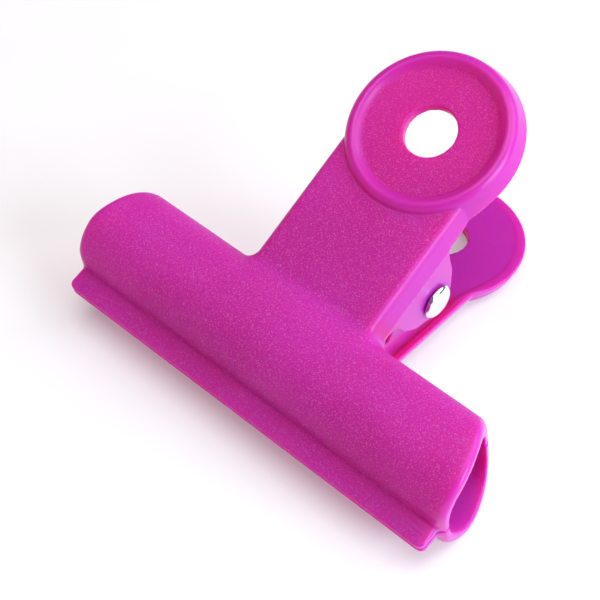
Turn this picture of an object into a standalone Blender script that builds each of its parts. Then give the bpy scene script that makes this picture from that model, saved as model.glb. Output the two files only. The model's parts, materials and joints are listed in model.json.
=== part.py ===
"""Moulded spring clip with two alike halves, a steel rivet and a torsion spring.

The clip lies on its back half. X runs along the jaw and the rivet, Y from the
lips to the handles, Z up. Each half is drawn in the clip's own frame: the rivet
axis is the origin, Y points to the back and Z up the handles. The back half is
the front half turned half a turn about that Z.
"""
import math

import bmesh
import bpy
from mathutils import Matrix, Vector

MM = 0.001

# Jaw
JAW_HALF_LENGTH = 37.5
SHELL_OVERHANG = 0.95
JAW_WALL = 2.0
JAW_DEPTH = 10.1
JAW_MIDDLE_Z = -21.3
JAW_RISE = 7.9
JAW_DROP = 9.3
JAW_TOP_POWER = 3.0
JAW_BOTTOM_POWER = 2.3
JAW_END_TAPER = 4.55
JAW_TAPER_START_Z = -25.5
LIP_CREASE_Y = 1.9
LIP_CREASE_Z = -30.7
LIP_BOTTOM_Z = -34.2
LIP_BOTTOM_Y = 1.05
LIP_CORNER = 1.3
JAW_STEPS = 14

# Handle: a plate with a raised rim, an outer side wall and an inner web
HANDLE_TILT = math.radians(14.8)
FACE_OFFSET = 11.8
PLATE = 2.0
RIM_DEPTH = 2.7
RIM_WIDTH = 1.4
NECK_HALF_WIDTH = 11.8
NECK_FOOT = -13.5
NECK_FLARE_FOOT = -12.3
NECK_FLARE = 1.8
PAD_CENTRE = 20.3
PAD_RADIUS = 13.9
NECK_DRAFT = 0.25
PAD_DRAFT = 0.3
FACE_EDGE = 0.5
PAD_STEPS = 56
SHOULDER_RADIUS = 2.0
HANG_HOLE_RADIUS = 4.4

# Raised ring round the pad
RING_INNER_RADIUS = 10.6
RING_CREST_RADIUS = 12.0
RING_OUTER_RADIUS = 13.3
RING_HEIGHT = 1.05
RING_ROOT = 0.4

# Side walls and ears
GAP = 0.3
EAR_THICKNESS = 2.0
EAR_TUCK = 0.05
WALL_DEPTH = 4.4
WALL_FOOT_DEPTH = 6.2
WALL_FADE_START = 9.0
WALL_FADE_END = 17.0
EAR_TIP_RADIUS = 4.3
EAR_UPPER_ROOT = 6.6
EAR_LOWER_ROOT = -8.4

# Rivet
PIN_RADIUS = 1.5
PIN_HEAD_RADIUS = 3.05
PIN_HEAD_HEIGHT = 1.25
PIN_STEPS = 32

# Torsion spring
WIRE_RADIUS = 0.7
COIL_RADIUS = 3.2
COIL_TURNS = 6
COIL_PITCH = 1.75
LEG_CONTACT = 14.5
COIL_STEPS = 18
WIRE_STEPS = 8

# Fits that follow from the sizes above
BORE_RADIUS = PIN_RADIUS + GAP
EAR_OUTER_X = NECK_HALF_WIDTH + NECK_DRAFT * WALL_DEPTH
INNER_EAR_X = EAR_OUTER_X - EAR_THICKNESS - GAP
PIN_SHOULDER_X = EAR_OUTER_X + GAP
LIP_INNER_Y = GAP / 2
TOP_EDGE_Y = 0.45

UP = Vector((0.0, -math.sin(HANDLE_TILT), math.cos(HANDLE_TILT)))
OUT = Vector((0.0, -math.cos(HANDLE_TILT), -math.sin(HANDLE_TILT)))


def clear_scene():
    for obj in list(bpy.data.objects):
        bpy.data.objects.remove(obj, do_unlink=True)


def material(name, colour, roughness, metallic=0.0):
    made = bpy.data.materials.new(name)
    made.use_nodes = True
    shader = made.node_tree.nodes["Principled BSDF"]
    shader.inputs["Base Color"].default_value = colour
    shader.inputs["Roughness"].default_value = roughness
    shader.inputs["Metallic"].default_value = metallic
    return made


def on_handle(x, along, depth):
    """A point of the front half: how far up the handle, and how deep below its face."""
    return Vector((x, 0.0, 0.0)) + UP * along + OUT * (FACE_OFFSET - depth)


def link(name, bm):
    """Turns a bmesh drawn in millimetres into an object in metres."""
    bmesh.ops.recalc_face_normals(bm, faces=bm.faces)
    bmesh.ops.scale(bm, vec=(MM, MM, MM), verts=bm.verts)
    mesh = bpy.data.meshes.new(name)
    bm.to_mesh(mesh)
    bm.free()
    obj = bpy.data.objects.new(name, mesh)
    bpy.context.scene.collection.objects.link(obj)
    return obj


def loft(name, rings, closed=False, ladder=False):
    """A closed solid through rings of points.

    Open ends get a flat cap. With ladder, rungs across each end join left to right.
    """
    bm = bmesh.new()
    rows = [[bm.verts.new(point) for point in ring] for ring in rings]
    pairs = list(zip(rows, rows[1:]))
    if closed:
        pairs.append((rows[-1], rows[0]))
    for row in (rows[0], rows[-1]):
        if ladder:
            cap_with_rungs(bm, row)
        elif not closed:
            bm.faces.new(row)
    for low, high in pairs:
        for i in range(len(low)):
            j = (i + 1) % len(low)
            bm.faces.new((low[i], low[j], high[j], high[i]))
    return link(name, bm)


def cap_with_rungs(bm, row):
    """Closes a ring whose second half mirrors its first, one rung at a time."""
    last = len(row) - 1
    for i in range(last // 2):
        rung = [row[i], row[i + 1], row[last - i - 1], row[last - i]]
        bm.faces.new(list(dict.fromkeys(rung)))


def combine(base, parts, operation):
    """Adds or cuts every part in turn, then bakes the result and drops the helpers."""
    for part in parts:
        part.hide_render = True
        part.display_type = "WIRE"
        modifier = base.modifiers.new(part.name, "BOOLEAN")
        modifier.operation = operation
        modifier.solver = "EXACT"
        modifier.object = part
    bpy.context.view_layer.update()
    graph = bpy.context.evaluated_depsgraph_get()
    baked = bpy.data.meshes.new_from_object(base.evaluated_get(graph))
    base.modifiers.clear()
    base.data = baked
    for part in parts:
        bpy.data.objects.remove(part, do_unlink=True)


# ---------------------------------------------------------------- jaw shell


def shell_point(angle, inset):
    """A point of the shell section: 0 is the deepest point, up is positive."""
    sine = math.sin(angle)
    power = JAW_TOP_POWER if sine > 0 else JAW_BOTTOM_POWER
    height = JAW_RISE if sine > 0 else JAW_DROP
    y = (JAW_DEPTH - inset) * math.cos(angle) ** (2 / power)
    z = (height - inset) * abs(sine) ** (2 / power)
    return -y, JAW_MIDDLE_Z + math.copysign(z, sine)


def shell_curve(inset, bottom_y, top_y):
    """The section curve from near the lips up to the edge that faces the other half."""
    low = shell_angle(inset, bottom_y, JAW_BOTTOM_POWER)
    high = shell_angle(inset, top_y, JAW_TOP_POWER)
    steps = [i / JAW_STEPS for i in range(JAW_STEPS + 1)]
    return [shell_point(-low + (low + high) * step, inset) for step in steps]


def shell_angle(inset, y, power):
    return math.acos((y / (JAW_DEPTH - inset)) ** (power / 2))


def jaw_section():
    outside = shell_curve(0.0, LIP_CREASE_Y, TOP_EDGE_Y)
    inside = shell_curve(JAW_WALL, LIP_INNER_Y, TOP_EDGE_Y)
    lip = [(-LIP_INNER_Y, LIP_BOTTOM_Z), (-LIP_BOTTOM_Y, LIP_BOTTOM_Z)]
    return lip + outside + inside[::-1]


def jaw_end_x(z):
    """Half the shell's length at a height. It narrows towards the handles."""
    span = JAW_MIDDLE_Z + JAW_RISE - JAW_TAPER_START_Z
    rise = max(0.0, z - JAW_TAPER_START_Z) / span
    return JAW_HALF_LENGTH + SHELL_OVERHANG - JAW_END_TAPER * rise**1.6


def jaw_front_view():
    """The outline that trims both ends of the jaw."""
    corner_z = LIP_BOTTOM_Z + LIP_CORNER
    right = [(JAW_HALF_LENGTH - LIP_CORNER, LIP_BOTTOM_Z - 1.0)]
    right += [(JAW_HALF_LENGTH - LIP_CORNER, LIP_BOTTOM_Z)]
    right += [(JAW_HALF_LENGTH, corner_z), (JAW_HALF_LENGTH, LIP_CREASE_Z)]
    right += [(JAW_HALF_LENGTH + SHELL_OVERHANG, LIP_CREASE_Z + 1.4)]
    top = JAW_MIDDLE_Z + JAW_RISE + 0.5
    for i in range(9):
        z = JAW_TAPER_START_Z + (top - JAW_TAPER_START_Z) * i / 8
        right.append((jaw_end_x(z), z))
    left = [(-x, z) for x, z in reversed(right)]
    return right + left


def make_jaw(name):
    reach = JAW_HALF_LENGTH + SHELL_OVERHANG + 1.0
    section = jaw_section()
    rings = [[Vector((x, y, z)) for y, z in section] for x in (-reach, reach)]
    jaw = loft(name, rings)
    outline = jaw_front_view()
    depths = (-JAW_DEPTH - 2.0, 2.0)
    trim = loft("jaw_trim", [[Vector((x, y, z)) for x, z in outline] for y in depths])
    combine(jaw, [trim], "INTERSECT")
    return jaw


# ------------------------------------------------------------------- handle


def handle_outline(neck_half, pad_radius, foot):
    """Right side of the neck, round the pad, down the left side."""
    drop = math.sqrt(pad_radius**2 - neck_half**2)
    corner = Vector((neck_half, PAD_CENTRE - drop))
    start = math.asin(-drop / pad_radius)
    shoulder_turn = start + SHOULDER_RADIUS / pad_radius
    on_pad = [Vector((math.cos(shoulder_turn), math.sin(shoulder_turn)))]
    pad_end = on_pad[0] * pad_radius + Vector((0.0, PAD_CENTRE))
    neck_end = corner - Vector((0.0, SHOULDER_RADIUS))
    right = flare_points(neck_half) if foot == NECK_FOOT else [Vector((neck_half, foot))]
    for i in range(5):
        t = i / 4
        bend = neck_end * (1 - t) ** 2 + corner * 2 * t * (1 - t) + pad_end * t**2
        right.append(bend)
    for i in range(1, PAD_STEPS // 2 + 1):
        angle = shoulder_turn + (math.pi / 2 - shoulder_turn) * i / (PAD_STEPS // 2)
        x = pad_radius * math.cos(angle)
        right.append(Vector((x, PAD_CENTRE + pad_radius * math.sin(angle))))
    left = [Vector((-point.x, point.y)) for point in reversed(right[:-1])]
    return right + left


def flare_points(neck_half):
    """The neck's foot, where it spreads in a quarter circle onto the shell."""
    points = [Vector((neck_half + NECK_FLARE, NECK_FOOT))]
    for i in range(5):
        turn = math.pi / 2 * i / 4
        x = neck_half + NECK_FLARE * (1 - math.sin(turn))
        points.append(Vector((x, NECK_FLARE_FOOT + NECK_FLARE * (1 - math.cos(turn)))))
    return points


def rim_depth(x, along):
    """How deep the rim reaches: deeper on the outer side, up to where the pad begins."""
    if x <= 0.0:
        return RIM_DEPTH
    fade = (along - WALL_FADE_START) / (WALL_FADE_END - WALL_FADE_START)
    fade = min(1.0, max(0.0, fade))
    return WALL_DEPTH + (RIM_DEPTH - WALL_DEPTH) * fade


def plate_ring(grow, foot, depth=None):
    """The plate outline at one depth, or along the rim where no depth is given."""
    level = RIM_DEPTH if depth is None else depth
    neck = NECK_HALF_WIDTH + grow + NECK_DRAFT * level
    outline = handle_outline(neck, PAD_RADIUS + grow + PAD_DRAFT * level, foot)
    ring = []
    for point in outline:
        below = rim_depth(point.x, point.y) if depth is None else depth
        extra = NECK_DRAFT * (below - level) * (1 if point.x > 0 else -1)
        ring.append(on_handle(point.x + extra, point.y, below))
    return ring


def make_plate(name):
    """The handle plate, widening from its face to its rim."""
    rings = [
        plate_ring(-FACE_EDGE, NECK_FOOT, 0.0),
        plate_ring(0.0, NECK_FOOT, FACE_EDGE),
        plate_ring(0.0, NECK_FOOT),
    ]
    return loft(name, rings, ladder=True)


def make_pocket():
    """The space inside the rim, open at the back."""
    foot = NECK_FOOT + 4.5
    rings = [plate_ring(-RIM_WIDTH, foot, depth) for depth in (PLATE, WALL_DEPTH + 1.0)]
    return loft("pocket", rings)


def make_valley():
    """A cove that eases the face of the neck into the shell."""
    section = [on_handle(0.0, NECK_FLARE_FOOT + NECK_FLARE, 0.0)]
    section.append(on_handle(0.0, NECK_FLARE_FOOT + 0.35, -0.15))
    section.append(on_handle(0.0, NECK_FLARE_FOOT - 0.45, -0.65))
    section.append(Vector((0.0, *shell_point(math.radians(38), 0.05))))
    section.append(on_handle(0.0, NECK_FOOT, 1.0))
    section.append(on_handle(0.0, NECK_FLARE_FOOT + NECK_FLARE, 1.0))
    half = NECK_HALF_WIDTH - FACE_EDGE
    rings = [[Vector((x, point.y, point.z)) for point in section] for x in (-half, half)]
    return loft("valley", rings)


def arc_points(centre, radius, start, end, steps):
    angles = [start + (end - start) * i / steps for i in range(steps + 1)]
    return [(centre[0] + radius * math.sin(a), centre[1] + radius * math.cos(a)) for a in angles]


def ear_outline():
    """Ear and its foot, seen along the rivet, as (along, depth) points."""
    tip_start, tip_end = math.radians(62), math.radians(-55)
    points = [(EAR_UPPER_ROOT + 0.6, 1.0), (EAR_UPPER_ROOT + 0.6, WALL_DEPTH - 0.3)]
    points += [(EAR_UPPER_ROOT, WALL_DEPTH + 0.3), (EAR_UPPER_ROOT - 0.4, WALL_DEPTH + 2.0)]
    points += [(EAR_UPPER_ROOT - 1.1, FACE_OFFSET - 1.6)]
    points += arc_points((0.0, FACE_OFFSET), EAR_TIP_RADIUS, tip_start, tip_end, 12)
    points += [(-5.6, FACE_OFFSET + 1.0), (-7.3, FACE_OFFSET - 2.6)]
    points += [(EAR_LOWER_ROOT + 0.7, WALL_DEPTH + 1.8), (EAR_LOWER_ROOT, WALL_DEPTH + 1.0)]
    points += [(EAR_LOWER_ROOT - 2.5, WALL_FOOT_DEPTH), (NECK_FOOT, WALL_FOOT_DEPTH + 0.4)]
    points += [(NECK_FOOT, 1.0)]
    return points


def side_plate(name, outer_x, inner_x):
    outline = ear_outline()
    rings = [[on_handle(x, along, depth) for along, depth in outline] for x in (inner_x, outer_x)]
    return loft(name, rings)


def make_outer_ear():
    """The outer ear. Near the face it slopes in to follow the side wall."""
    ear = side_plate("outer_ear", EAR_OUTER_X, EAR_OUTER_X - EAR_THICKNESS)
    face_x = NECK_HALF_WIDTH - EAR_TUCK
    slope_end = (EAR_OUTER_X - face_x) / NECK_DRAFT
    section = [
        (face_x - FACE_EDGE, -1.0),
        (face_x - FACE_EDGE, 0.1),
        (face_x + NECK_DRAFT, 1.0),
        (EAR_OUTER_X, slope_end),
        (EAR_OUTER_X + 2.0, slope_end),
        (EAR_OUTER_X + 2.0, -1.0),
    ]
    rings = [[on_handle(x, along, depth) for x, depth in section] for along in (-18.0, 18.0)]
    combine(ear, [loft("draft", rings)], "DIFFERENCE")
    return ear


def make_ring():
    """The raised ring, as a rounded rib that dips below the face."""
    section = [(RING_INNER_RADIUS, RING_ROOT)]
    section += rib_curve(RING_INNER_RADIUS, RING_CREST_RADIUS)
    section += [(RING_CREST_RADIUS, -RING_HEIGHT)]
    section += rib_curve(RING_OUTER_RADIUS, RING_CREST_RADIUS)[::-1]
    section += [(RING_OUTER_RADIUS, RING_ROOT)]
    rings = []
    for i in range(PAD_STEPS):
        angle = 2 * math.pi * i / PAD_STEPS
        ring = []
        for radius, depth in section:
            x = radius * math.cos(angle)
            ring.append(on_handle(x, PAD_CENTRE + radius * math.sin(angle), depth))
        rings.append(ring)
    return loft("pad_ring", rings, closed=True)


def rib_curve(foot_radius, crest_radius):
    points = []
    for share in (0.22, 0.5, 0.8):
        radius = foot_radius + (crest_radius - foot_radius) * share
        points.append((radius, -RING_HEIGHT * math.sin(math.pi / 2 * share)))
    return points


def disc(name, radius, steps, frame, low, high):
    """A cylinder between two levels of a frame of three axes and a centre."""
    centre, across, along, axis = frame
    rings = []
    for level in (low, high):
        ring = []
        for i in range(steps):
            angle = 2 * math.pi * i / steps
            flat = across * math.cos(angle) + along * math.sin(angle)
            ring.append(centre + flat * radius + axis * level)
        rings.append(ring)
    return loft(name, rings)


def make_half(name, paint):
    """One moulding: jaw shell, handle plate, ring, outer wall with ear, inner web with ear."""
    half = make_jaw(name)
    plate = make_plate("plate")
    combine(plate, [make_pocket()], "DIFFERENCE")
    inner_side = -INNER_EAR_X
    web = side_plate("inner_web", inner_side, inner_side + EAR_THICKNESS)
    combine(half, [plate, make_outer_ear(), web, make_valley(), make_ring()], "UNION")
    pad = (UP * PAD_CENTRE + OUT * FACE_OFFSET, Vector((1, 0, 0)), UP, OUT)
    hole = disc("hang_hole", HANG_HOLE_RADIUS, 40, pad, -9.0, 4.0)
    rivet_axis = (Vector((0, 0, 0)), Vector((0, 1, 0)), Vector((0, 0, 1)), Vector((1, 0, 0)))
    bore = disc("bore", BORE_RADIUS, PIN_STEPS, rivet_axis, -20.0, 20.0)
    combine(half, [hole, bore], "DIFFERENCE")
    half.data.materials.clear()
    half.data.materials.append(paint)
    return half


# ---------------------------------------------------------- rivet and spring


def make_pin(name, paint):
    """A rivet with a domed head at each end."""
    profile = []
    for i in range(7):
        turn = math.pi / 2 * i / 7
        height = PIN_HEAD_HEIGHT * math.cos(turn)
        profile.append((PIN_SHOULDER_X + height, PIN_HEAD_RADIUS * math.sin(turn + 0.08)))
    profile.append((PIN_SHOULDER_X + 0.15, PIN_HEAD_RADIUS))
    profile.append((PIN_SHOULDER_X, PIN_HEAD_RADIUS - 0.1))
    profile.append((PIN_SHOULDER_X, PIN_RADIUS))
    profile += [(-x, radius) for x, radius in reversed(profile)]
    rings = []
    for x, radius in profile:
        angles = [2 * math.pi * i / PIN_STEPS for i in range(PIN_STEPS)]
        rings.append([Vector((x, radius * math.cos(a), radius * math.sin(a))) for a in angles])
    pin = loft(name, rings)
    pin.data.materials.append(paint)
    return pin


def leg_path():
    """A straight leg that leaves the coil at a tangent and lies against a handle."""
    inner_face = FACE_OFFSET - PLATE - WIRE_RADIUS - GAP
    contact = Vector((0.0, LEG_CONTACT, inner_face))
    distance = contact.length
    lean = math.atan2(contact.z, contact.y) - math.asin(COIL_RADIUS / distance)
    reach = math.sqrt(distance**2 - COIL_RADIUS**2)
    along = Vector((0.0, math.cos(lean), math.sin(lean)))
    start = contact - along * reach
    points = [start + along * (reach * i / 4) for i in range(1, 5)]
    return start, points


def spring_path():
    """Centre line from the end of the back leg, round the coil, to the end of the front leg."""
    start, leg = leg_path()
    front_leg = [UP * point.y + OUT * point.z for point in [start] + leg]
    back_leg = [Vector((0.0, -point.y, point.z)) for point in front_leg]
    first = math.atan2(back_leg[0].z, back_leg[0].y)
    last = math.atan2(front_leg[0].z, front_leg[0].y)
    turn = 2 * math.pi * COIL_TURNS + (last - first)
    count = COIL_STEPS * COIL_TURNS
    length = COIL_PITCH * turn / (2 * math.pi)
    coil = []
    for i in range(1, count):
        angle = first + turn * i / count
        x = -length / 2 + length * i / count
        coil.append(Vector((x, COIL_RADIUS * math.cos(angle), COIL_RADIUS * math.sin(angle))))
    left = [point + Vector((-length / 2, 0.0, 0.0)) for point in reversed(back_leg)]
    right = [point + Vector((length / 2, 0.0, 0.0)) for point in front_leg]
    return left + coil + right


def make_spring(name, paint):
    """Round wire swept along the path."""
    path = spring_path()
    rings = []
    side = Vector((1, 0, 0))
    for i, point in enumerate(path):
        ahead = path[min(i + 1, len(path) - 1)]
        behind = path[max(i - 1, 0)]
        forward = (ahead - behind).normalized()
        side = (side - forward * side.dot(forward)).normalized()
        other = forward.cross(side)
        ring = []
        for k in range(WIRE_STEPS):
            angle = 2 * math.pi * k / WIRE_STEPS
            spread = side * math.cos(angle) + other * math.sin(angle)
            ring.append(point + spread * WIRE_RADIUS)
        rings.append(ring)
    spring = loft(name, rings)
    spring.data.materials.append(paint)
    return spring


# ------------------------------------------------------------------ assembly


def lying_turn(half_points):
    """The turn about X that lays the back half on its jaw and its pad ring."""
    jaw = [point for point in half_points if point.z < JAW_MIDDLE_Z * 0.5 * MM]
    pad = [point for point in half_points if point.z > PAD_CENTRE * 0.8 * MM]
    lean = 0.0
    for _ in range(12):
        away = Vector((0.0, math.cos(lean), -math.sin(lean)))
        low_jaw = max(jaw, key=away.dot)
        low_pad = max(pad, key=away.dot)
        lean = math.atan2(low_pad.y - low_jaw.y, low_pad.z - low_jaw.z)
    return Matrix.Rotation(-math.pi / 2 + lean, 3, "X")


def place(objects, back_half):
    """Turns everything, puts the lowest point on Z = 0 and centres the whole in X and Y."""
    turn = lying_turn([vert.co.copy() for vert in back_half.data.vertices])
    for obj in objects:
        for vert in obj.data.vertices:
            vert.co = turn @ vert.co
    points = [vert.co for obj in objects for vert in obj.data.vertices]
    middle_x = (max(p.x for p in points) + min(p.x for p in points)) / 2
    middle_y = (max(p.y for p in points) + min(p.y for p in points)) / 2
    lowest = min(p.z for p in points)
    for obj in objects:
        obj.location = (-middle_x, -middle_y, -lowest)


def finish_mesh(obj, angle):
    for polygon in obj.data.polygons:
        polygon.use_smooth = True
    obj.data.set_sharp_from_angle(angle=math.radians(angle))


def main():
    clear_scene()
    plastic = material("magenta_plastic", (0.52, 0.03, 0.30, 1.0), 0.42)
    steel = material("plated_steel", (0.78, 0.78, 0.80, 1.0), 0.18, 1.0)
    wire = material("spring_steel", (0.42, 0.42, 0.44, 1.0), 0.3, 1.0)

    front = make_half("front_half", plastic)
    back = front.copy()
    back.data = front.data.copy()
    back.name = "back_half"
    bpy.context.scene.collection.objects.link(back)
    half_turn = Matrix.Rotation(math.pi, 4, "Z")
    back.data.transform(half_turn)

    pin = make_pin("hinge_pin", steel)
    spring = make_spring("torsion_spring", wire)
    objects = [back, front, pin, spring]
    place(objects, back)
    for obj in objects:
        finish_mesh(obj, 35)


main()
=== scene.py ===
"""Looks of a moulded spring clip: two plastic halves, a plated rivet and a torsion spring.

Each half is drawn in the clip's own frame, in millimetres: the rivet axis is the origin, X runs
along the jaw, Y points to the back and Z up the handles. A half is described by its distance
from every point to its surface, negative inside, so that each edge and each inner corner gets
the rounding of a moulding. The back half is the front half turned half a turn about Z.
"""
import json
import math

import bmesh
import bpy
import numpy as np
from mathutils import Matrix, Quaternion, Vector


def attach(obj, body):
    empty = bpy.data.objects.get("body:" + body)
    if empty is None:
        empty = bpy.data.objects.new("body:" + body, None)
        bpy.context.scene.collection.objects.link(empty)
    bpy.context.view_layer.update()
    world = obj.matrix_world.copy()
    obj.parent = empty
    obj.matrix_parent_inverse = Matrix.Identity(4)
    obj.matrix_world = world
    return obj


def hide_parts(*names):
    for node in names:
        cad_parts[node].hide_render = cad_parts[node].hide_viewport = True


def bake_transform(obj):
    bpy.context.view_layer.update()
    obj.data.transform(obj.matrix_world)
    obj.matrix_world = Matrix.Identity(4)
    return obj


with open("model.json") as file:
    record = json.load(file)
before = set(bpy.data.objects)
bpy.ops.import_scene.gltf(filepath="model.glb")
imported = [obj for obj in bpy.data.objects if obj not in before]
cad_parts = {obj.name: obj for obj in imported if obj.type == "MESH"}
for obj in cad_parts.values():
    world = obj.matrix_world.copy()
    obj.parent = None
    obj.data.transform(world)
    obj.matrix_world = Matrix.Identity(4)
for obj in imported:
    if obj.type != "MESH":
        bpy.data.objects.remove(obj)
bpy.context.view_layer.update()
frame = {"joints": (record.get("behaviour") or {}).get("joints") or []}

MM = 0.001

# Fineness of the moulded meshes: grid pitch, and the share of faces kept
PITCH = 0.3
KEEP_FACES = 0.34

# How mesh points are settled onto the exact surface
SLOPE_STEP = 0.01
SETTLE_ROUNDS = 3
LEAST_STEEP = 0.2

# Jaw. Its half length is measured at the lips
JAW_HALF_LENGTH = 37.5
SHELL_OVERHANG = 0.95
JAW_WALL = 2.0
JAW_DEPTH = 10.1
JAW_MIDDLE_Z = -21.3
JAW_RISE = 7.9
JAW_DROP = 9.3
JAW_TOP_POWER = 3.0
JAW_BOTTOM_POWER = 2.3
JAW_END_TAPER = 4.55
JAW_TAPER_POWER = 1.6
JAW_TAPER_LIMIT = 1.1
JAW_TAPER_START_Z = -25.5
JAW_TOP_Z = -13.4
JAW_END_ROUND = 1.0
END_ROUND_START = 1.0
END_ROUND_RUN = 4.0
SHELL_SWELL_RISE = 1.4
END_SLOPE = 0.95
SHELL_INNER_EDGE = 0.35
LIP_CREASE_Y = 1.9
LIP_CREASE_Z = -30.7
LIP_BOTTOM_Z = -34.2
LIP_BOTTOM_Y = 1.05
LIP_CORNER_ROUND = 1.0
LIP_ROUND = 0.25
LIP_CREASE_FILLET = 0.25
FACING_EDGE = 0.2
LIP_INNER_Y = 0.15
TOP_EDGE_Y = 0.45

# Handle
HANDLE_TILT = math.radians(14.8)
FACE_OFFSET = 11.8
PLATE = 2.0
RIM_DEPTH = 2.7
PAD_RIM_DEPTH = 2.1
PAD_SIDE_DEPTH = 3.2
RIM_WIDTH = 1.3
RIM_EDGE = 0.4
POCKET_FILLET = 1.0
POCKET_EDGE = 0.3
POCKET_FOOT = 4.5
RIM_CHANGE_X = 6.0
NECK_HALF_WIDTH = 11.8
NECK_FOOT = -13.5
NECK_FILLET = 2.2
BESIDE_NECK_X = 14.0
SHOULDER_FILLET = 0.6
PAD_CENTRE = 20.3
PAD_RADIUS = 13.9
NECK_DRAFT = 0.25
PAD_DRAFT = 0.3
NECK_ROUND = 1.0
HANG_HOLE_RADIUS = 4.4
HOLE_EDGE = 0.35
HOLE_BACK_EDGE = 0.1
HOLE_EDGE_THINNING = 0.2

# Raised ring
RING_CREST_RADIUS = 12.5
RING_SPREAD = 1.8
RING_HEIGHT = 1.05
RING_ROUND = 0.95
RING_SLOPE = 0.8
GROOVE_FILLET = 0.15

# Ears
EAR_THICKNESS = 2.0
WALL_DEPTH = 4.4
EAR_OUTER_X = NECK_HALF_WIDTH + NECK_DRAFT * WALL_DEPTH
EAR_GAP = 0.3
INNER_EAR_X = EAR_OUTER_X - EAR_THICKNESS - EAR_GAP
WALL_FADE_START = 9.0
WALL_FADE_END = 17.0
EAR_TIP_RADIUS = 4.3
EAR_UPPER_ROOT = 6.6
EAR_LOWER_ROOT = -8.4

# The lower edge of an ear as (along, depth) points, and the arc of its tip in degrees
EAR_LOWER_LOBE = [(-5.6, FACE_OFFSET + 1.0), (-7.3, FACE_OFFSET - 2.6)]
EAR_TIP_FROM = 62
EAR_TIP_TURN = 117
EAR_TIP_STEPS = 16

EAR_ROUND = 0.35
EAR_FOOT_DEPTH = 5.0
WEB_FOOT_DEPTH = 6.2
EAR_FILLET = 0.25
BORE_RADIUS = 1.8
BORE_EDGE = 0.1

# Texture: how far the grain reaches and how softly it stops beside the smooth faces
GRAIN_DEPTH = 1.0
GRAIN_FADE = 0.6
PAD_MARGIN = 0.3
SIDE_MARGIN = 0.7
SIDE_FADE = 0.8
END_MARGIN = 1.5
END_FADE = 0.9

# Painted shade in hollows: how far from a face another wall is looked for, and how much it counts
NEAR_REACH = 1.2
NEAR_WEIGHT = 1.6
WIDE_REACH = 6.0
WIDE_WEIGHT = 1.2
HOLLOW_START = 0.1
HOLLOW_MOST = 0.75

# The box round one half that the mesh grid fills
GRID_LOWS = (-JAW_HALF_LENGTH - 2.0, -23.0, LIP_BOTTOM_Z - 1.0)
GRID_HIGHS = (JAW_HALF_LENGTH + 2.0, 5.5, 32.5)

# Rivet
PIN_RADIUS = 1.5
PIN_PLAY = 0.3
PIN_SHOULDER_X = EAR_OUTER_X + PIN_PLAY
PIN_HEAD_RADIUS = 3.0
PIN_HEAD_HEIGHT = 1.25
PIN_HEAD_RIM = 0.28
PIN_DOME_INSET = 0.05
PIN_SHANK_ROUND = 0.1
RIVET_SIDES = 64

# The arc of the rivet's dome in degrees, then its edge as (height above the shoulder, inset)
PIN_DOME_FROM = 4
PIN_DOME_TURN = 80
PIN_DOME_STEPS = 12
PIN_HEAD_EDGE = [(0.32, 0.01), (0.2, 0.0), (0.08, 0.03), (0.0, 0.15)]

# Edges of the metal pieces sharper than this stay sharp
SHARP_ANGLE = math.radians(50)

# Spring
WIRE_RADIUS = 0.7
COIL_RADIUS = 3.2
COIL_TURNS = 6
COIL_PITCH = 1.75
LEG_CONTACT = 14.5
SPRING_GAP = 0.3
WIRE_SIDES = 16
LEG_STEPS = 12
COIL_STEPS = 40

# The turn that lays the clip on its back half
LYING_TURN = -math.acos(0.20482668)

UP = Vector((0.0, -math.sin(HANDLE_TILT), math.cos(HANDLE_TILT)))
OUT = Vector((0.0, -math.cos(HANDLE_TILT), -math.sin(HANDLE_TILT)))
RIVET = Vector(frame["joints"][0]["pos_m"])
LYING = Matrix.Translation(RIVET) @ Matrix.Rotation(LYING_TURN, 4, "X") @ Matrix.Scale(MM, 4)
HALF_TURN = Matrix.Rotation(math.pi, 4, "Z")


# ------------------------------------------------------------ joining shapes


def overlap(a, b, rounding):
    """Where two shapes overlap, with their shared edge rounded off."""
    outside = np.hypot(np.maximum(a + rounding, 0.0), np.maximum(b + rounding, 0.0))
    return np.minimum(-rounding, np.maximum(a, b)) + outside


def join(a, b, fillet):
    """Two shapes together, with a fillet in the corner between them."""
    return -overlap(-a, -b, fillet)


def carve(a, b, rounding):
    """The first shape without the second."""
    return overlap(a, -b, rounding)


def slab(value, low, high):
    """Distance outside a layer between two values."""
    return np.maximum(low - value, value - high)


def outline_gap(u, v, outline):
    """Distance from a closed outline of straight runs."""
    nearest = np.full(np.broadcast(u, v).shape, 1e9)
    inside = np.zeros(nearest.shape, bool)
    for (start_u, start_v), (end_u, end_v) in zip(outline, outline[1:] + outline[:1]):
        run_u, run_v = end_u - start_u, end_v - start_v
        share = (u - start_u) * run_u + (v - start_v) * run_v
        share = np.clip(share / (run_u**2 + run_v**2), 0.0, 1.0)
        gap = np.hypot(u - start_u - run_u * share, v - start_v - run_v * share)
        nearest = np.minimum(nearest, gap)
        spans = (start_v > v) != (end_v > v)
        if run_v:
            inside ^= spans & (u < start_u + run_u * (v - start_v) / run_v)
    return np.where(inside, -nearest, nearest)


# ---------------------------------------------------------------- jaw shell


def shell_gap(y, z, inset):
    """Distance from the rounded section of the jaw."""
    upper = z > JAW_MIDDLE_Z
    power = np.where(upper, JAW_TOP_POWER, JAW_BOTTOM_POWER)
    depth = JAW_DEPTH - inset
    height = np.where(upper, JAW_RISE, JAW_DROP) - inset
    across = np.maximum(np.abs(y) / depth, 1e-4)
    along = np.maximum(np.abs(z - JAW_MIDDLE_Z) / height, 1e-4)
    size = (across**power + along**power) ** (1 / power)
    steep_y = (across / size) ** (power - 1) / depth
    steep_z = (along / size) ** (power - 1) / height
    return (size - 1) / np.hypot(steep_y, steep_z)


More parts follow.
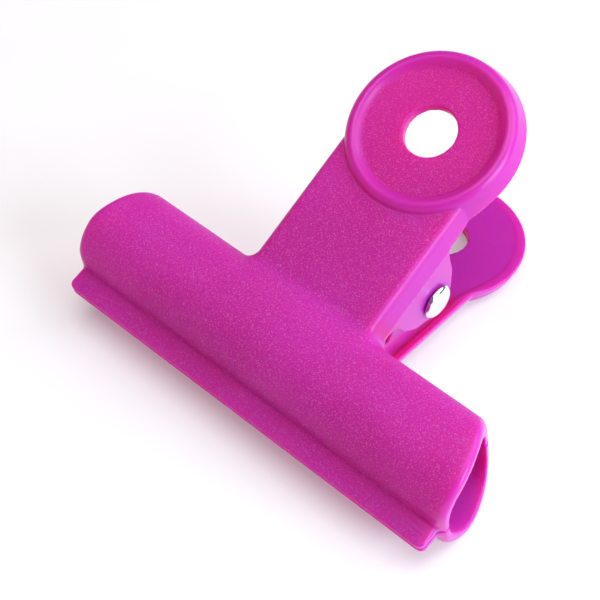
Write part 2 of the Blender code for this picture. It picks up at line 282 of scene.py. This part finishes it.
def lip_gap(y, z):
    """Distance from the flat lip under the shell."""
    run_y, run_z = LIP_CREASE_Y - LIP_BOTTOM_Y, LIP_CREASE_Z - LIP_BOTTOM_Z
    length = math.hypot(run_y, run_z)
    outward = (-(y + LIP_BOTTOM_Y) * run_z - (z - LIP_BOTTOM_Z) * run_y) / length
    return np.maximum(outward, z - JAW_MIDDLE_Z)


def jaw_outside(y, z):
    """Distance from the outside of the shell and lip together."""
    return join(shell_gap(y, z, 0.0), lip_gap(y, z), LIP_CREASE_FILLET)


def ease_between(value, low, high):
    """0 at low and 1 at high, with a soft start and a soft end."""
    share = np.clip((value - low) / (high - low), 0.0, 1.0)
    return share * share * (3 - 2 * share)


def end_gap(x, z):
    """Distance beyond either end of the jaw.

    The foot of the shell is a little longer than the lips. Above it the shell narrows.
    """
    swell = ease_between(z, LIP_CREASE_Z, LIP_CREASE_Z + SHELL_SWELL_RISE)
    rise = (z - JAW_TAPER_START_Z) / (JAW_TOP_Z - JAW_TAPER_START_Z)
    rise = np.clip(rise, 0.0, JAW_TAPER_LIMIT)
    half = JAW_HALF_LENGTH + SHELL_OVERHANG * swell
    past = np.abs(x) - half + JAW_END_TAPER * rise**JAW_TAPER_POWER
    return past * END_SLOPE


def facing_gap(y, z):
    """Distance past the plane where the two halves meet."""
    lean = (TOP_EDGE_Y - LIP_INNER_Y) / (JAW_TOP_Z - LIP_BOTTOM_Z)
    return y + LIP_INNER_Y + lean * (z - LIP_BOTTOM_Z)


def jaw_field(x, y, z):
    """Half of the hollow jaw, with its flat lip."""
    trim = overlap(end_gap(x, z), LIP_BOTTOM_Z - z, LIP_CORNER_ROUND)
    thickness = np.clip((z - LIP_BOTTOM_Z - END_ROUND_START) / END_ROUND_RUN, 0.0, 1.0)
    rounding = LIP_ROUND + (JAW_END_ROUND - LIP_ROUND) * thickness
    solid = overlap(jaw_outside(y, z), trim, rounding)
    solid = carve(solid, shell_gap(y, z, JAW_WALL), SHELL_INNER_EDGE)
    return overlap(solid, facing_gap(y, z), FACING_EDGE)


# ------------------------------------------------------------------- handle


def handle_place(y, z):
    """How far up the handle a point is, and how deep below its face."""
    return UP.y * y + UP.z * z, FACE_OFFSET - OUT.y * y - OUT.z * z


def neck_outline(x, along, depth):
    """Distance from the sides of the neck, which runs on to the middle of the pad."""
    sides = np.abs(x) - NECK_HALF_WIDTH - NECK_DRAFT * depth
    return np.maximum(sides, along - PAD_CENTRE)


def pad_outline(x, along, depth):
    """Distance from the round side of the pad."""
    return np.hypot(x, along - PAD_CENTRE) - PAD_RADIUS - PAD_DRAFT * depth


def ring_height(x, along):
    """How far the ring stands above the disc inside it."""
    inwards = RING_CREST_RADIUS - np.hypot(x, along - PAD_CENTRE)
    return RING_HEIGHT * np.cos(np.clip(inwards / RING_SPREAD, 0.0, 1.0) * math.pi / 2) ** 2


def handle_front(x, along, depth):
    """Neck and pad with no back: the pad stands above the neck by the height of its ring."""
    neck = overlap(neck_outline(x, along, depth), -depth, NECK_ROUND)
    top = (-depth - ring_height(x, along)) * RING_SLOPE
    pad = overlap(pad_outline(x, along, depth), top, RING_ROUND)
    return join(neck, pad, GROOVE_FILLET)


def rim_depth(x, along):
    """How deep the rim reaches: deeper on the outer side, and shallow round the pad."""
    fade = ease_between(along, WALL_FADE_START, WALL_FADE_END)
    outer = WALL_DEPTH + (PAD_SIDE_DEPTH - WALL_DEPTH) * fade
    inner = RIM_DEPTH + (PAD_RIM_DEPTH - RIM_DEPTH) * fade
    side = np.clip(x / RIM_CHANGE_X, 0.0, 1.0)
    return inner + (outer - inner) * side


def plate_field(x, along, depth):
    """The handle plate: neck and pad, hollowed inside the rim and pierced by the hanging hole."""
    outline = join(
        neck_outline(x, along, depth), pad_outline(x, along, depth), SHOULDER_FILLET
    )
    body = handle_front(x, along, depth)
    body = overlap(body, depth - rim_depth(x, along), RIM_EDGE)
    pocket = overlap(outline + RIM_WIDTH, PLATE - depth, POCKET_FILLET)
    pocket = np.maximum(pocket, NECK_FOOT + POCKET_FOOT - along)
    body = carve(body, pocket, POCKET_EDGE)
    hole = np.hypot(x, along - PAD_CENTRE) - HANG_HOLE_RADIUS
    hole_edge = np.clip(HOLE_EDGE - HOLE_EDGE_THINNING * depth, HOLE_BACK_EDGE, HOLE_EDGE)
    body = carve(body, hole, hole_edge)
    return np.maximum(body, NECK_FOOT - along)


def tip_arc():
    """The rounded end of an ear, as (along, depth) points."""
    turns = [EAR_TIP_FROM - EAR_TIP_TURN * i / EAR_TIP_STEPS for i in range(EAR_TIP_STEPS + 1)]
    angles = [math.radians(turn) for turn in turns]
    along = [EAR_TIP_RADIUS * math.sin(angle) for angle in angles]
    depth = [FACE_OFFSET + EAR_TIP_RADIUS * math.cos(angle) for angle in angles]
    return list(zip(along, depth))


def ear_outline(foot_depth):
    """Ear and its foot, seen along the rivet, as (along, depth) points."""
    points = [(EAR_UPPER_ROOT + 0.9, 1.0), (EAR_UPPER_ROOT + 0.8, WALL_DEPTH - 0.4)]
    points += [(EAR_UPPER_ROOT, WALL_DEPTH + 0.6), (EAR_UPPER_ROOT - 0.4, WALL_DEPTH + 2.0)]
    points += [(EAR_UPPER_ROOT - 1.1, FACE_OFFSET - 1.6)]
    points += tip_arc()
    points += EAR_LOWER_LOBE
    points += [(EAR_LOWER_ROOT + 0.6, foot_depth + 1.2), (EAR_LOWER_ROOT, foot_depth + 0.4)]
    points += [(EAR_LOWER_ROOT - 1.2, foot_depth), (NECK_FOOT, foot_depth), (NECK_FOOT, 1.0)]
    return points


def ear_field(x, along, depth):
    """The outer ear, which follows the slope of the side wall near the face."""
    reach = np.minimum(EAR_OUTER_X, NECK_HALF_WIDTH + NECK_DRAFT * depth)
    sheet = slab(x, EAR_OUTER_X - EAR_THICKNESS, reach)
    return overlap(outline_gap(along, depth, ear_outline(EAR_FOOT_DEPTH)), sheet, EAR_ROUND)


def web_field(x, along, depth):
    """The thin web on the other side, with the inner ear."""
    sheet = slab(x, -INNER_EAR_X, -INNER_EAR_X + EAR_THICKNESS)
    return overlap(outline_gap(along, depth, ear_outline(WEB_FOOT_DEPTH)), sheet, EAR_ROUND)


def half_field(x, y, z):
    """One moulding."""
    along, depth = handle_place(y, z)
    jaw = jaw_field(x, y, z)
    plate = plate_field(x, along, depth)
    ears = np.minimum(ear_field(x, along, depth), web_field(x, along, depth))
    handle = join(plate, ears, EAR_FILLET)
    body = join(jaw, handle, NECK_FILLET)
    beside_neck = np.abs(x) >= BESIDE_NECK_X
    body = np.where(beside_neck, np.maximum(body, facing_gap(y, z)), body)
    body = np.maximum(body, -shell_gap(y, z, JAW_WALL))
    bore = np.hypot(y, z) - BORE_RADIUS
    return carve(body, bore, BORE_EDGE)


def grain_mask(x, y, z):
    """1 on the textured outer faces, 0 on the ring, the side walls, the ends and inside."""
    along, depth = handle_place(y, z)
    beside = np.abs(x) - NECK_HALF_WIDTH + SIDE_MARGIN
    on_pad = pad_outline(x, along, 0.0) < PAD_MARGIN
    ring = np.clip(ring_height(x, along) / GRAIN_FADE, 0.0, 1.0) * on_pad
    side = np.clip(beside / SIDE_FADE, 0.0, 1.0) * (z > JAW_TOP_Z)
    ends = np.clip((end_gap(x, z) + END_MARGIN) / END_FADE, 0.0, 1.0) * (z < JAW_TOP_Z)
    near = np.minimum(np.abs(depth), np.abs(jaw_outside(y, z)))
    grain = np.clip((GRAIN_DEPTH - near) / GRAIN_FADE, 0.0, 1.0)
    return grain * (1 - ring) * (1 - side) * (1 - ends)


def painted_shade_mask(points, normals):
    """Painted shade: how closely walls face each other, as light bounces between them; 0 in the
    open.
    """
    near = 1.0 - half_field(*(points + normals * NEAR_REACH).T) / NEAR_REACH
    wide = 1.0 - half_field(*(points + normals * WIDE_REACH).T) / WIDE_REACH
    closed_in = np.maximum(NEAR_WEIGHT * near, WIDE_WEIGHT * wide) - HOLLOW_START
    return np.clip(closed_in, 0.0, HOLLOW_MOST)


# ----------------------------------------------------- from distance to mesh


def slope_of(field, points):
    """How the distance changes along X, Y and Z at each point."""
    slopes = []
    for axis in np.eye(3) * SLOPE_STEP:
        ahead, behind = (points + axis).T, (points - axis).T
        slopes.append((field(*ahead) - field(*behind)) / (2 * SLOPE_STEP))
    return np.stack(slopes, axis=1)


def settle(field, points):
    """Moves each point straight onto the surface."""
    for _ in range(SETTLE_ROUNDS):
        slopes = slope_of(field, points)
        steep = np.maximum((slopes**2).sum(axis=1), LEAST_STEEP)
        move = slopes * (field(*points.T) / steep)[:, None]
        points = points - np.clip(move, -PITCH / 3, PITCH / 3)
    return points


def crossings(values, axis):
    """The grid edges along one axis that pass through the surface, and where."""
    low = np.take(values, range(values.shape[axis] - 1), axis=axis)
    high = np.take(values, range(1, values.shape[axis]), axis=axis)
    edges = np.argwhere((low < 0) != (high < 0))
    start, end = low[tuple(edges.T)], high[tuple(edges.T)]
    places = edges.astype(float)
    places[:, axis] += start / (start - end)
    return edges, places, start < 0


def surface_of(field, lows, highs):
    """Corners and four-sided faces of the surface of a shape."""
    axes = [np.arange(low, high, PITCH) for low, high in zip(lows, highs)]
    values = field(*np.meshgrid(*axes, indexing="ij", sparse=True)).astype(np.float32)
    cell_sets, place_sets, quad_sets = [], [], []
    for axis in range(3):
        edges, places, starts_inside = crossings(values, axis)
        first, second = (axis + 1) % 3, (axis + 2) % 3
        around = []
        for back_first, back_second in ((0, 0), (1, 0), (1, 1), (0, 1)):
            cell = edges.copy()
            cell[:, first] -= back_first
            cell[:, second] -= back_second
            around.append(np.ravel_multi_index(cell.T, values.shape))
        quads = np.stack(around, axis=1)
        cell_sets.append(quads.ravel())
        place_sets.append(np.repeat(places, 4, axis=0))
        quads[~starts_inside] = quads[~starts_inside, ::-1]
        quad_sets.append(quads)
    cells, index = np.unique(np.concatenate(cell_sets), return_inverse=True)
    places = np.concatenate(place_sets)
    count = np.bincount(index)
    corners = np.stack([np.bincount(index, places[:, k]) / count for k in range(3)], axis=1)
    corners = corners * PITCH + np.array([axis[0] for axis in axes])
    quads = np.searchsorted(cells, np.concatenate(quad_sets))
    return corners, quads


def thin_out(name, corners, faces, share):
    """A mesh with fewer faces where the surface is plain."""
    mesh = bpy.data.meshes.new(name)
    mesh.from_pydata(corners.tolist(), [], faces.tolist())
    helper = bpy.data.objects.new(name, mesh)
    bpy.context.scene.collection.objects.link(helper)
    if share < 1.0:
        modifier = helper.modifiers.new("thin", "DECIMATE")
        modifier.ratio = share
    graph = bpy.context.evaluated_depsgraph_get()
    thinned = bpy.data.meshes.new_from_object(helper.evaluated_get(graph))
    bpy.data.objects.remove(helper, do_unlink=True)
    return thinned


def corners_of(mesh):
    """The places of a mesh's corners, as rows of three."""
    flat = np.empty(len(mesh.vertices) * 3, np.float32)
    mesh.vertices.foreach_get("co", flat)
    return flat.reshape(-1, 3).astype(float)


def mark_points(mesh, name, values):
    """Stores one number at each corner, for the material to read."""
    marks = mesh.attributes.new(name, "FLOAT", "POINT")
    marks.data.foreach_set("value", values.astype(np.float32))


def moulding_mesh():
    """The mesh of one half, with its texture and its painted-shade hollows marked, and its exact
    normals.
    """
    corners, faces = surface_of(half_field, GRID_LOWS, GRID_HIGHS)
    mesh = thin_out("moulding", settle(half_field, corners), faces, KEEP_FACES)
    points = settle(half_field, corners_of(mesh))
    mesh.vertices.foreach_set("co", points.astype(np.float32).ravel())
    slopes = slope_of(half_field, points)
    normals = slopes / np.linalg.norm(slopes, axis=1, keepdims=True)
    mark_points(mesh, "grain", grain_mask(*points.T))
    # Painted shade: how closed in each corner is
    mark_points(mesh, "hollow", painted_shade_mask(points, normals))
    return mesh, normals


def add_half(name, mesh, normals, turn, body, node, paint):
    """One half in its place. Its shading follows the exact surface."""
    place = LYING @ turn
    own = mesh.copy()
    own.transform(place)
    rotation = np.array(place.to_3x3().normalized())
    own.shade_smooth()
    own.normals_split_custom_set_from_vertices((normals @ rotation.T).tolist())
    own.materials.clear()
    own.materials.append(paint)
    obj = bpy.data.objects.new(name, own)
    bpy.context.scene.collection.objects.link(obj)
    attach(obj, body)
    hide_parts(node)
    return obj


# ---------------------------------------------------------- rivet and spring


def add_mesh(name, bm, paint):
    """Links a bmesh drawn in the clip's frame, laid in its place."""
    bmesh.ops.recalc_face_normals(bm, faces=bm.faces)
    bmesh.ops.transform(bm, matrix=LYING, verts=bm.verts)
    mesh = bpy.data.meshes.new(name)
    bm.to_mesh(mesh)
    bm.free()
    mesh.shade_smooth()
    mesh.set_sharp_from_angle(angle=SHARP_ANGLE)
    mesh.materials.append(paint)
    obj = bpy.data.objects.new(name, mesh)
    bpy.context.scene.collection.objects.link(obj)
    return obj


def tube_rows(bm, rings):
    """A tube through rings of points, closed at both ends."""
    rows = [[bm.verts.new(point) for point in ring] for ring in rings]
    for low, high in zip(rows, rows[1:]):
        for i in range(len(low)):
            j = (i + 1) % len(low)
            bm.faces.new((low[i], low[j], high[j], high[i]))
    bm.faces.new(rows[0])
    bm.faces.new(rows[-1])


def head_profile():
    """Half of the rivet's outline, from the middle of its head to its shank."""
    profile = []
    dome = PIN_HEAD_HEIGHT - PIN_HEAD_RIM
    for i in range(PIN_DOME_STEPS + 1):
        turn = math.radians(PIN_DOME_FROM + PIN_DOME_TURN * i / PIN_DOME_STEPS)
        radius = (PIN_HEAD_RADIUS - PIN_DOME_INSET) * math.sin(turn)
        profile.append((PIN_SHOULDER_X + PIN_HEAD_RIM + dome * math.cos(turn), radius))
    for height, inset in PIN_HEAD_EDGE:
        profile.append((PIN_SHOULDER_X + height, PIN_HEAD_RADIUS - inset))
    profile.append((PIN_SHOULDER_X, PIN_RADIUS + PIN_SHANK_ROUND))
    profile.append((PIN_SHOULDER_X - PIN_SHANK_ROUND, PIN_RADIUS))
    return profile


def add_rivet(paint):
    """The plated rivet, with a domed head at each end."""
    half = head_profile()
    profile = half + [(-x, radius) for x, radius in reversed(half)]
    angles = [2 * math.pi * i / RIVET_SIDES for i in range(RIVET_SIDES)]
    bm = bmesh.new()
    rings = []
    for x, radius in profile:
        rings.append([(x, radius * math.cos(a), radius * math.sin(a)) for a in angles])
    tube_rows(bm, rings)
    obj = add_mesh("rivet", bm, paint)
    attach(obj, "back")
    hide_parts("hinge_pin")


def leg_path():
    """A straight leg that leaves the coil at a tangent and lies against a handle."""
    inner_face = FACE_OFFSET - PLATE - WIRE_RADIUS - SPRING_GAP
    contact = Vector((0.0, LEG_CONTACT, inner_face))
    lean = math.atan2(contact.z, contact.y) - math.asin(COIL_RADIUS / contact.length)
    reach = math.sqrt(contact.length**2 - COIL_RADIUS**2)
    along = Vector((0.0, math.cos(lean), math.sin(lean)))
    start = contact - along * reach
    return [start + along * (reach * i / LEG_STEPS) for i in range(LEG_STEPS + 1)]


def spring_path():
    """Centre line: up the back leg, round the coil and up the front leg."""
    front_leg = [UP * point.y + OUT * point.z for point in leg_path()]
    back_leg = [Vector((0.0, -point.y, point.z)) for point in front_leg]
    first = math.atan2(back_leg[0].z, back_leg[0].y)
    last = math.atan2(front_leg[0].z, front_leg[0].y)
    turn = 2 * math.pi * COIL_TURNS + last - first
    count = COIL_STEPS * COIL_TURNS
    length = COIL_PITCH * turn / (2 * math.pi)
    coil = []
    for i in range(1, count):
        angle = first + turn * i / count
        x = length * (i / count - 0.5)
        coil.append(Vector((x, COIL_RADIUS * math.cos(angle), COIL_RADIUS * math.sin(angle))))
    aside = Vector((length / 2, 0.0, 0.0))
    left = [point - aside for point in reversed(back_leg)]
    return left + coil + [point + aside for point in front_leg], length


def add_spring(paint):
    """Round wire swept along its path, which runs from one half to the other."""
    path, length = spring_path()
    side = Vector((1.0, 0.0, 0.0))
    turns = [2 * math.pi * k / WIRE_SIDES for k in range(WIRE_SIDES)]
    rings = []
    for i, point in enumerate(path):
        forward = path[min(i + 1, len(path) - 1)] - path[max(i - 1, 0)]
        forward.normalize()
        side = (side - forward * side.dot(forward)).normalized()
        other = forward.cross(side)
        round_wire = [side * math.cos(turn) + other * math.sin(turn) for turn in turns]
        rings.append([point + away * WIRE_RADIUS for away in round_wire])
    bm = bmesh.new()
    tube_rows(bm, rings)
    obj = add_mesh("spring_wire_coil", bm, paint)
    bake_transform(obj)
    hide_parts("torsion_spring")


# ---------------------------------------------------------------- materials

SMOOTH_MAGENTA = (0.53, 0.024, 0.42, 1.0)
GRAINED_MAGENTA = (0.53, 0.015, 0.32, 1.0)
GRAINED_MAGENTA_LIGHT = (0.57, 0.020, 0.38, 1.0)
# Pale pink painted on the grain tips: a painted highlight standing for glints
PAINTED_GLINT_PINK = (0.90, 0.34, 0.72, 1.0)
# Deep crimson painted into the hollows: painted shade
PAINTED_SHADE_CRIMSON = (0.58, 0.009, 0.21, 1.0)
PLATING_DULL = (0.78, 0.78, 0.80, 1.0)
PLATING_BRIGHT = (0.90, 0.90, 0.91, 1.0)
WIRE_DARK = (0.34, 0.34, 0.36, 1.0)
WIRE_LIGHT = (0.48, 0.48, 0.50, 1.0)
FLOOR_DULL = (0.70, 0.70, 0.70, 1.0)
FLOOR_BRIGHT = (0.74, 0.74, 0.74, 1.0)
FLOOR_GLOW = (1.0, 0.97, 0.97, 1.0)
FLOAT, COLOUR = "NodeSocketFloat", "NodeSocketColor"


def add_node(tree, kind, values=None, **settings):
    """A node with its socket values and its settings."""
    made = tree.nodes.new(kind)
    for name, value in settings.items():
        setattr(made, name, value)
    for name, value in (values or {}).items():
        made.inputs[name].default_value = value
    return made


def new_group(name, inputs, outputs):
    """A node group with named sockets, each given as (name, kind)."""
    group = bpy.data.node_groups.new(name, "ShaderNodeTree")
    for socket, kind in inputs:
        group.interface.new_socket(socket, in_out="INPUT", socket_type=kind)
    for socket, kind in outputs:
        group.interface.new_socket(socket, in_out="OUTPUT", socket_type=kind)
    return group, group.nodes.new("NodeGroupInput"), group.nodes.new("NodeGroupOutput")


def ramp(tree, low, high):
    """Maps low to 0 and high to 1, eased and clamped."""
    return add_node(
        tree,
        "ShaderNodeMapRange",
        {"From Min": low, "From Max": high},
        interpolation_type="SMOOTHSTEP",
        clamp=True,
    )


def spark_grain_group():
    """Fine spark-eroded grain: a height, and a mask of the grain tips that catch the light."""
    inputs = [("Scale", FLOAT), ("Coarse", FLOAT)]
    group, given, made = new_group("spark_grain", inputs, [("Height", FLOAT), ("Tips", FLOAT)])
    place = add_node(group, "ShaderNodeTexCoord")
    fine = add_node(group, "ShaderNodeTexNoise", {"Detail": 3.0, "Roughness": 0.62})
    pits = add_node(group, "ShaderNodeTexVoronoi", feature="F1")
    half = add_node(group, "ShaderNodeMath", {1: 0.55}, operation="MULTIPLY")
    blend = add_node(group, "ShaderNodeMix", data_type="FLOAT")
    tips = ramp(group, 0.52, 0.66)
    link = group.links.new
    link(place.outputs["Object"], fine.inputs["Vector"])
    link(place.outputs["Object"], pits.inputs["Vector"])
    link(given.outputs["Scale"], fine.inputs["Scale"])
    link(given.outputs["Scale"], half.inputs[0])
    link(half.outputs[0], pits.inputs["Scale"])
    link(given.outputs["Coarse"], blend.inputs["Factor"])
    link(fine.outputs["Fac"], blend.inputs["A"])
    link(pits.outputs["Distance"], blend.inputs["B"])
    link(blend.outputs["Result"], made.inputs["Height"])
    link(blend.outputs["Result"], tips.inputs["Value"])
    link(tips.outputs["Result"], made.inputs["Tips"])
    return group


def flow_tone_group():
    """Slow changes of tone, as pigment leaves in moulded plastic."""
    inputs = [("Scale", FLOAT), ("Low", COLOUR), ("High", COLOUR)]
    group, given, made = new_group("flow_tone", inputs, [("Color", COLOUR), ("Mask", FLOAT)])
    place = add_node(group, "ShaderNodeTexCoord")
    cloud = add_node(group, "ShaderNodeTexNoise", {"Detail": 4.0, "Distortion": 0.6})
    eased = ramp(group, 0.3, 0.7)
    mix = add_node(group, "ShaderNodeMix", data_type="RGBA")
    link = group.links.new
    link(place.outputs["Object"], cloud.inputs["Vector"])
    link(given.outputs["Scale"], cloud.inputs["Scale"])
    link(cloud.outputs["Fac"], eased.inputs["Value"])
    link(eased.outputs["Result"], mix.inputs["Factor"])
    link(given.outputs["Low"], mix.inputs["A"])
    link(given.outputs["High"], mix.inputs["B"])
    link(mix.outputs["Result"], made.inputs["Color"])
    link(eased.outputs["Result"], made.inputs["Mask"])
    return group


def new_material(name, values):
    """A material with its shader's own values set. Returns it, its tree and its shader."""
    made = bpy.data.materials.new(name)
    made.use_nodes = True
    shader = made.node_tree.nodes["Principled BSDF"]
    for socket, value in values.items():
        shader.inputs[socket].default_value = value
    return made, made.node_tree, shader


def use_group(tree, group, values):
    """A node that runs a node group."""
    return add_node(tree, "ShaderNodeGroup", values, node_tree=group)


def colour_plastic(tree, shader, mark, tips, tone):
    """Magenta, with painted glints on grain tips and painted crimson shade in hollows."""
    hollow = add_node(tree, "ShaderNodeAttribute", attribute_name="hollow")
    colours = {"Scale": 55.0, "Low": GRAINED_MAGENTA, "High": GRAINED_MAGENTA_LIGHT}
    cloud = use_group(tree, tone, colours)
    side = add_node(tree, "ShaderNodeMix", {"A": SMOOTH_MAGENTA}, data_type="RGBA")
    # Painted highlight: the grain tips are paled towards pink as glints
    glint_amount = add_node(tree, "ShaderNodeMath", {1: 0.34}, operation="MULTIPLY")
    painted_glint = add_node(tree, "ShaderNodeMix", {"B": PAINTED_GLINT_PINK}, data_type="RGBA")
    # Painted shade: deep crimson mixed in by how closed in each hollow is
    shade_paint = add_node(tree, "ShaderNodeMix", {"B": PAINTED_SHADE_CRIMSON}, data_type="RGBA")
    link = tree.links.new
    link(tips, glint_amount.inputs[0])
    link(glint_amount.outputs[0], painted_glint.inputs["Factor"])
    link(cloud.outputs["Color"], side.inputs["B"])
    link(mark, side.inputs["Factor"])
    link(side.outputs["Result"], painted_glint.inputs["A"])
    link(painted_glint.outputs["Result"], shade_paint.inputs["A"])
    link(hollow.outputs["Fac"], shade_paint.inputs["Factor"])
    link(shade_paint.outputs["Result"], shader.inputs["Base Color"])


def finish_plastic(tree, shader, mark, tips):
    """Rough on the grain but for its tips, with a clear gloss on the smooth faces."""
    rough = add_node(tree, "ShaderNodeMix", {"A": 0.30, "B": 0.55}, data_type="FLOAT")
    glint = add_node(tree, "ShaderNodeMath", {1: -0.22}, operation="MULTIPLY")
    total = add_node(tree, "ShaderNodeMath", operation="ADD")
    gloss = add_node(
        tree, "ShaderNodeMapRange", {"From Min": 1.0, "From Max": 0.0, "To Max": 0.45}
    )
    link = tree.links.new
    link(mark, rough.inputs["Factor"])
    link(tips, glint.inputs[0])
    link(rough.outputs["Result"], total.inputs[0])
    link(glint.outputs[0], total.inputs[1])
    link(total.outputs[0], shader.inputs["Roughness"])
    link(mark, gloss.inputs["Value"])
    link(gloss.outputs["Result"], shader.inputs["Coat Weight"])


def clip_plastic(grain, tone):
    """Magenta plastic that lets light through: grained outside, smooth on the walls."""
    values = {
        "Subsurface Weight": 1.0,
        "Subsurface Radius": (1.0, 0.04, 0.16),
        "Subsurface Scale": 0.0055,
        "IOR": 1.49,
        "Specular IOR Level": 0.15,
        "Coat Roughness": 0.32,
        "Coat IOR": 1.45,
    }
    paint, tree, shader = new_material("magenta_moulded_plastic", values)
    shader.subsurface_method = "RANDOM_WALK"
    mark = add_node(tree, "ShaderNodeAttribute", attribute_name="grain")
    spark = use_group(tree, grain, {"Scale": 6800.0, "Coarse": 0.2})
    sparkle = add_node(tree, "ShaderNodeMath", operation="MULTIPLY")
    height = add_node(tree, "ShaderNodeMath", operation="MULTIPLY")
    bump = add_node(tree, "ShaderNodeBump", {"Strength": 1.0, "Distance": 0.00013})
    link = tree.links.new
    link(spark.outputs["Tips"], sparkle.inputs[0])
    link(mark.outputs["Fac"], sparkle.inputs[1])
    link(spark.outputs["Height"], height.inputs[0])
    link(mark.outputs["Fac"], height.inputs[1])
    link(height.outputs[0], bump.inputs["Height"])
    link(bump.outputs["Normal"], shader.inputs["Normal"])
    colour_plastic(tree, shader, mark.outputs["Fac"], sparkle.outputs[0], tone)
    finish_plastic(tree, shader, mark.outputs["Fac"], sparkle.outputs[0])
    return paint


def plated_steel(tone):
    """Bright plating with a faint uneven polish."""
    paint, tree, shader = new_material("bright_plated_steel", {"Metallic": 1.0})
    colours = {"Scale": 420.0, "Low": PLATING_DULL, "High": PLATING_BRIGHT}
    cloud = use_group(tree, tone, colours)
    rough = add_node(tree, "ShaderNodeMix", {"A": 0.10, "B": 0.2}, data_type="FLOAT")
    bump = add_node(tree, "ShaderNodeBump", {"Strength": 0.12, "Distance": 0.00008})
    link = tree.links.new
    link(cloud.outputs["Color"], shader.inputs["Base Color"])
    link(cloud.outputs["Mask"], rough.inputs["Factor"])
    link(rough.outputs["Result"], shader.inputs["Roughness"])
    link(cloud.outputs["Mask"], bump.inputs["Height"])
    link(bump.outputs["Normal"], shader.inputs["Normal"])
    return paint


def drawn_wire(grain, tone):
    """Grey spring wire with fine drawing marks."""
    paint, tree, shader = new_material("drawn_spring_wire", {"Metallic": 1.0})
    marks = use_group(tree, grain, {"Scale": 3800.0, "Coarse": 0.2})
    colours = {"Scale": 300.0, "Low": WIRE_DARK, "High": WIRE_LIGHT}
    cloud = use_group(tree, tone, colours)
    rough = add_node(tree, "ShaderNodeMix", {"A": 0.25, "B": 0.42}, data_type="FLOAT")
    bump = add_node(tree, "ShaderNodeBump", {"Strength": 0.2, "Distance": 0.00005})
    link = tree.links.new
    link(cloud.outputs["Color"], shader.inputs["Base Color"])
    link(marks.outputs["Tips"], rough.inputs["Factor"])
    link(rough.outputs["Result"], shader.inputs["Roughness"])
    link(marks.outputs["Height"], bump.inputs["Height"])
    link(bump.outputs["Normal"], shader.inputs["Normal"])
    return paint


def pale_floor(tone):
    """A plain pale floor with a faint glow, which keeps its shadows light."""
    glow = {"Roughness": 0.7, "Emission Color": FLOOR_GLOW, "Emission Strength": 0.25}
    paint, tree, shader = new_material("pale_floor", glow)
    colours = {"Scale": 12.0, "Low": FLOOR_DULL, "High": FLOOR_BRIGHT}
    cloud = use_group(tree, tone, colours)
    tree.links.new(cloud.outputs["Color"], shader.inputs["Base Color"])
    return paint


# -------------------------------------------------------------------- stage


FLOOR_HALF_SIZE = 3.0


def add_floor(paint):
    """The floor that the clip lies on."""
    bm = bmesh.new()
    bmesh.ops.create_grid(bm, x_segments=1, y_segments=1, size=FLOOR_HALF_SIZE)
    mesh = bpy.data.meshes.new("floor")
    bm.to_mesh(mesh)
    bm.free()
    mesh.materials.append(paint)
    floor = bpy.data.objects.new("floor", mesh)
    bpy.context.scene.collection.objects.link(floor)


def add_light(name, place, size, power, colour):
    """A soft square light, with places in metres."""
    light = bpy.data.lights.new(name, "AREA")
    light.size = size
    light.energy = power
    light.color = colour
    obj = bpy.data.objects.new(name, light)
    obj.location = place
    obj.rotation_mode = "QUATERNION"
    obj.rotation_quaternion = (LIGHT_TARGET - Vector(place)).to_track_quat("-Z", "Y")
    bpy.context.scene.collection.objects.link(obj)


WORLD_TINT = (1.0, 0.78, 0.74, 1.0)
WORLD_STRENGTH = 0.12


def add_world():
    """Dim warm light from all round, and a plain view of the colours."""
    world = bpy.data.worlds.new("studio")
    world.use_nodes = True
    background = world.node_tree.nodes["Background"]
    background.inputs["Color"].default_value = WORLD_TINT
    background.inputs["Strength"].default_value = WORLD_STRENGTH
    bpy.context.scene.world = world
    bpy.context.scene.view_settings.view_transform = "Standard"


CAMERA_PLACE = Vector((0.09413, -0.12173, 0.19374))
CAMERA_TARGET = Vector((-0.00542, -0.01221, 0.01044))
CAMERA_ROLL = math.radians(-0.6)
CAMERA_LENS = 86.7


def add_camera():
    """The camera, above the jaw and off to its right."""
    data = bpy.data.cameras.new("camera")
    data.lens = CAMERA_LENS
    data.sensor_width = 36.0
    data.clip_start = 0.01
    data.clip_end = 20.0
    camera = bpy.data.objects.new("camera", data)
    aim = (CAMERA_TARGET - CAMERA_PLACE).to_track_quat("-Z", "Y")
    camera.rotation_mode = "QUATERNION"
    camera.rotation_quaternion = aim @ Quaternion((0.0, 0.0, 1.0), CAMERA_ROLL)
    camera.location = CAMERA_PLACE
    bpy.context.scene.collection.objects.link(camera)
    bpy.context.scene.camera = camera


LIGHT_TARGET = Vector((0.0, 0.0, 0.01))

# Name, place in metres, size, power and colour
LIGHTS = [
    ("key", (0.62, 0.03, 0.30), 0.40, 4.5, (0.74, 0.93, 1.0)),
    ("back", (0.30, 0.42, 0.50), 0.5, 2.5, (0.93, 0.96, 1.0)),
    ("top", (0.0, -0.06, 0.75), 0.5, 3.2, (0.98, 0.97, 1.0)),
    ("fill", (-0.5, -0.5, 0.25), 0.6, 0.8, (1.0, 0.18, 0.16)),
]


def add_lights():
    """A cool key from the right, soft light from above and behind, and a red fill."""
    for name, place, size, power, colour in LIGHTS:
        add_light(name, place, size, power, colour)


def main():
    """Makes the clip's pieces, then the floor, lights and camera."""
    grain, tone = spark_grain_group(), flow_tone_group()
    plastic = clip_plastic(grain, tone)
    mesh, normals = moulding_mesh()
    identity = Matrix.Identity(4)
    add_half("front_moulding", mesh, normals, identity, "front", "front_half", plastic)
    add_half("back_moulding", mesh, normals, HALF_TURN, "back", "back_half", plastic)
    add_rivet(plated_steel(tone))
    add_spring(drawn_wire(grain, tone))
    add_floor(pale_floor(tone))
    add_lights()
    add_world()
    add_camera()


main()
